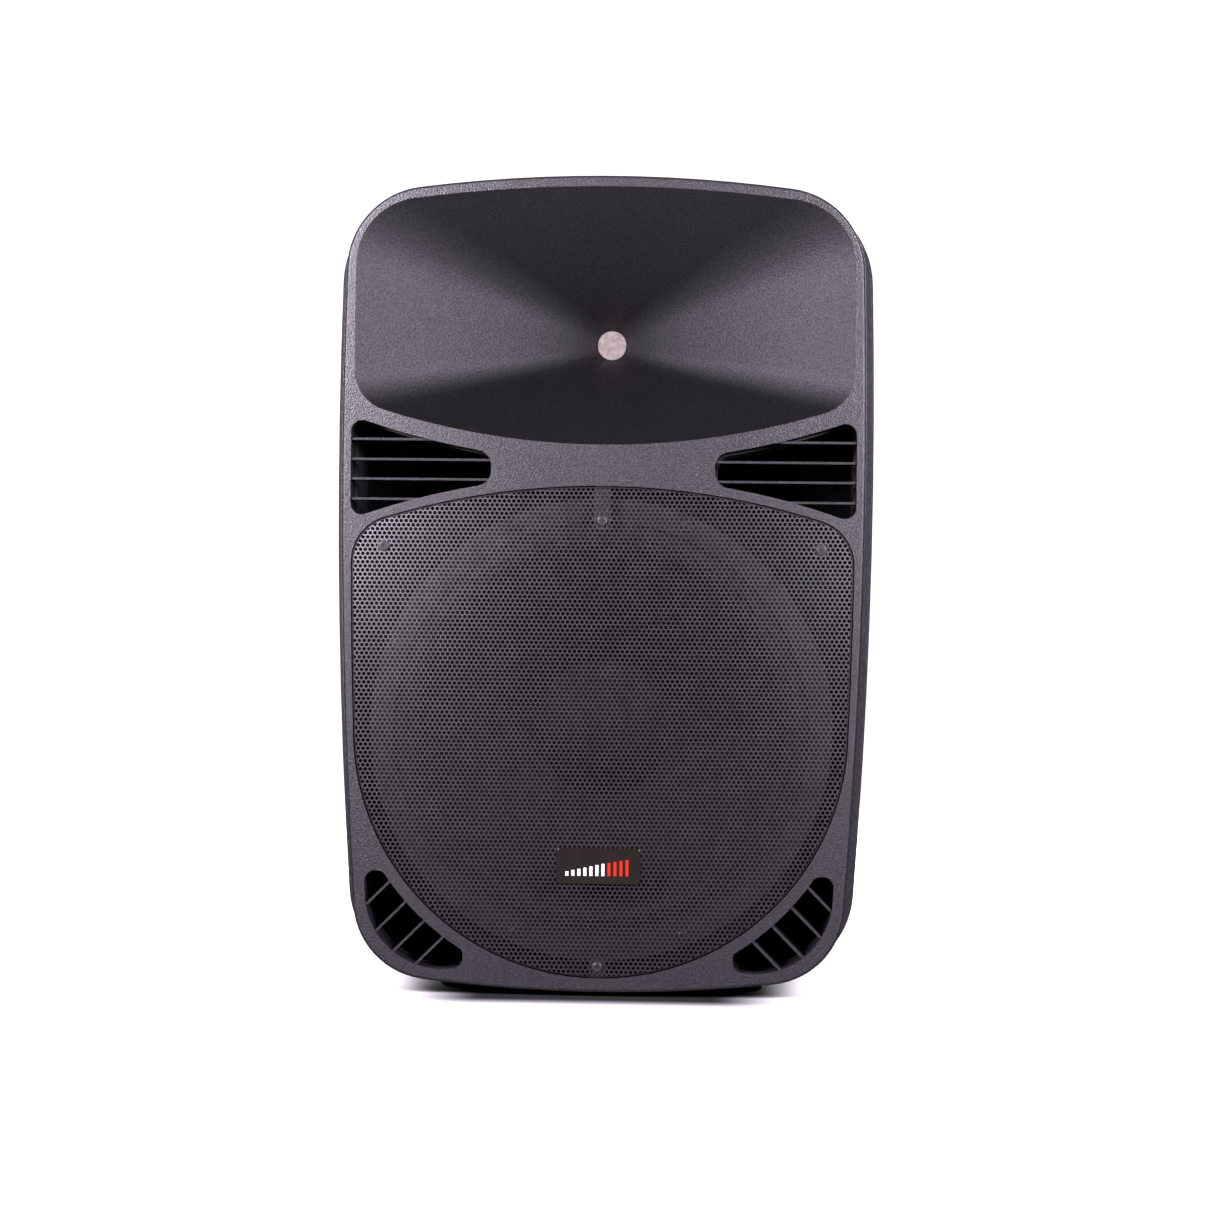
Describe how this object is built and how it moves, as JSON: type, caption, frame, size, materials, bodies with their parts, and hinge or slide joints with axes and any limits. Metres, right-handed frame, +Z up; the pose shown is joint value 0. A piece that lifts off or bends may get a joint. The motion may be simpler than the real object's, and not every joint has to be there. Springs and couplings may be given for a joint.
{
  "type": "loudspeaker cabinet",
  "caption": "Moulded powered loudspeaker cabinet with a wide horn above a round-bottomed perforated grille, louvred corner ports, tapered back, handles and pole socket.",
  "frame": {"origin": "on the floor plane under the feet, midway across the width and midway between baffle face and rear face", "axes": "+X to the right seen from the front, +Y to the back, +Z up"},
  "size_m": [0.4526, 0.3717, 0.6859],
  "materials": {
    "badge_gloss": "gloss, brown-black",
    "basket_paint": "black paint, satin",
    "cabinet_plastic": "fine-grained moulded polypropylene, charcoal",
    "cable_sleeve": "insulated twin lead",
    "capacitor_sleeve": "shrink sleeve",
    "circuit_board": "green solder mask",
    "coil_copper": "copper winding",
    "cone_paper": "coated pulp, black",
    "diaphragm_titanium": "bright foil",
    "driver_aluminium": "cast",
    "driver_plastic": "moulded",
    "duct_plastic": "plain moulded",
    "ferrite": "ground ferrite",
    "foot_rubber": "moulded rubber",
    "gasket_foam": "foam and card gasket",
    "grille_steel": "black powder coat, semi-gloss",
    "grip_rubber": "soft grip over a strap",
    "heat_sink_black": "black anodised",
    "insert_brass": "turned",
    "knob_plastic": "fluted, soft-touch",
    "lamp_lens": "clear coloured lens",
    "panel_black": "black powder coat, fine texture",
    "screen_mesh": "fine woven gauze",
    "screw_black": "black zinc",
    "seal_foam": "closed-cell foam",
    "socket_black": "glass-filled nylon",
    "spider_cloth": "resin-dipped cotton",
    "steel_plate": "zinc plated",
    "surround_cloth": "coated cloth rolls",
    "switch_red": "moulded, gloss",
    "transformer_tape": "wound polyester tape"
  },
  "bodies": {
    "cabinet": {"amplifier_panel": "panel_black", "badge": "badge_gloss", "bracket_inserts": "insert_brass", "combo_sockets": "socket_black", "driver_leads": "cable_sleeve", "filter_capacitors": "capacitor_sleeve", "fitting_screws": "screw_black", "front_baffle": "cabinet_plastic", "grille": "grille_steel", "grille_screws": "screw_black", "heat_sink": "heat_sink_black", "horn_driver_bolts": "screw_black", "horn_driver_cover": "driver_plastic", "horn_driver_flange": "driver_aluminium", "horn_driver_magnet": "ferrite", "horn_driver_plate": "steel_plate", "horn_phase_plug": "driver_aluminium", "horn_screen": "screen_mesh", "indicator_lamps": "lamp_lens", "input_board": "circuit_board", "link_socket": "socket_black", "lower_port_duct_left": "duct_plastic", "lower_port_duct_right": "duct_plastic", "mains_inlet": "socket_black", "panel_screws": "screw_black", "phono_sockets": "socket_black", "pole_socket": "driver_plastic", "potentiometers": "steel_plate", "power_board": "circuit_board", "power_switch": "socket_black", "power_transformer": "transformer_tape", "rear_shell": "cabinet_plastic", "rubber_feet": "foot_rubber", "shell_screws": "screw_black", "shell_seal": "seal_foam", "top_handle": "grip_rubber", "upper_port_duct_left": "duct_plastic", "upper_port_duct_right": "duct_plastic", "woofer_basket": "basket_paint", "woofer_gasket": "gasket_foam", "woofer_magnet": "ferrite", "woofer_pole_piece": "steel_plate", "woofer_screws": "screw_black", "woofer_spider": "spider_cloth", "woofer_surround": "surround_cloth", "woofer_terminals": "socket_black", "woofer_top_plate": "steel_plate"},
    "woofer_motor_moving": {"woofer_cone": "cone_paper", "dust_cap": "cone_paper", "voice_coil": "coil_copper"},
    "horn_diaphragm_body": {"horn_diaphragm": "diaphragm_titanium"},
    "power_rocker_body": {"power_rocker": "switch_red"},
    "socket_latch_1_body": {"socket_latch_1": "socket_black"},
    "socket_latch_2_body": {"socket_latch_2": "socket_black"},
    "fuse_drawer_body": {"fuse_drawer": "socket_black"},
    "knob_input_1_body": {"knob_input_1": "knob_plastic"},
    "knob_input_2_body": {"knob_input_2": "knob_plastic"},
    "knob_bass_body": {"knob_bass": "knob_plastic"},
    "knob_treble_body": {"knob_treble": "knob_plastic"},
    "knob_master_body": {"knob_master": "knob_plastic"}
  },
  "joints": [
    {"name": "woofer_cone_travel", "type": "slide", "parent": "cabinet", "child": "woofer_motor_moving", "axis": [0, 1, 0], "range_m": [-0.005, 0.005]},
    {"name": "horn_diaphragm_travel", "type": "slide", "parent": "cabinet", "child": "horn_diaphragm_body", "axis": [0, 1, 0], "range_m": [-0.0003, 0.0003]},
    {"name": "power_rocker_tilt", "type": "hinge", "parent": "cabinet", "child": "power_rocker_body", "pos_m": [-0.014, 0.164, 0.29], "axis": [1, 0, 0], "range_deg": [0, 16]},
    {"name": "socket_latch_1_press", "type": "slide", "parent": "cabinet", "child": "socket_latch_1_body", "axis": [0, -1, 0], "range_m": [0, 0.0012]},
    {"name": "socket_latch_2_press", "type": "slide", "parent": "cabinet", "child": "socket_latch_2_body", "axis": [0, -1, 0], "range_m": [0, 0.0012]},
    {"name": "fuse_drawer_slide", "type": "slide", "parent": "cabinet", "child": "fuse_drawer_body", "axis": [0, 1, 0], "range_m": [0, 0.017]},
    {"name": "knob_input_1_turn", "type": "hinge", "parent": "cabinet", "child": "knob_input_1_body", "pos_m": [-0.08, 0.17, 0.425], "axis": [0, 1, 0], "range_deg": [-150, 150]},
    {"name": "knob_input_2_turn", "type": "hinge", "parent": "cabinet", "child": "knob_input_2_body", "pos_m": [-0.04, 0.17, 0.425], "axis": [0, 1, 0], "range_deg": [-150, 150]},
    {"name": "knob_bass_turn", "type": "hinge", "parent": "cabinet", "child": "knob_bass_body", "pos_m": [0, 0.17, 0.425], "axis": [0, 1, 0], "range_deg": [-150, 150]},
    {"name": "knob_treble_turn", "type": "hinge", "parent": "cabinet", "child": "knob_treble_body", "pos_m": [0.04, 0.17, 0.425], "axis": [0, 1, 0], "range_deg": [-150, 150]},
    {"name": "knob_master_turn", "type": "hinge", "parent": "cabinet", "child": "knob_master_body", "pos_m": [0.08, 0.17, 0.425], "axis": [0, 1, 0], "range_deg": [-150, 150]}
  ]
}
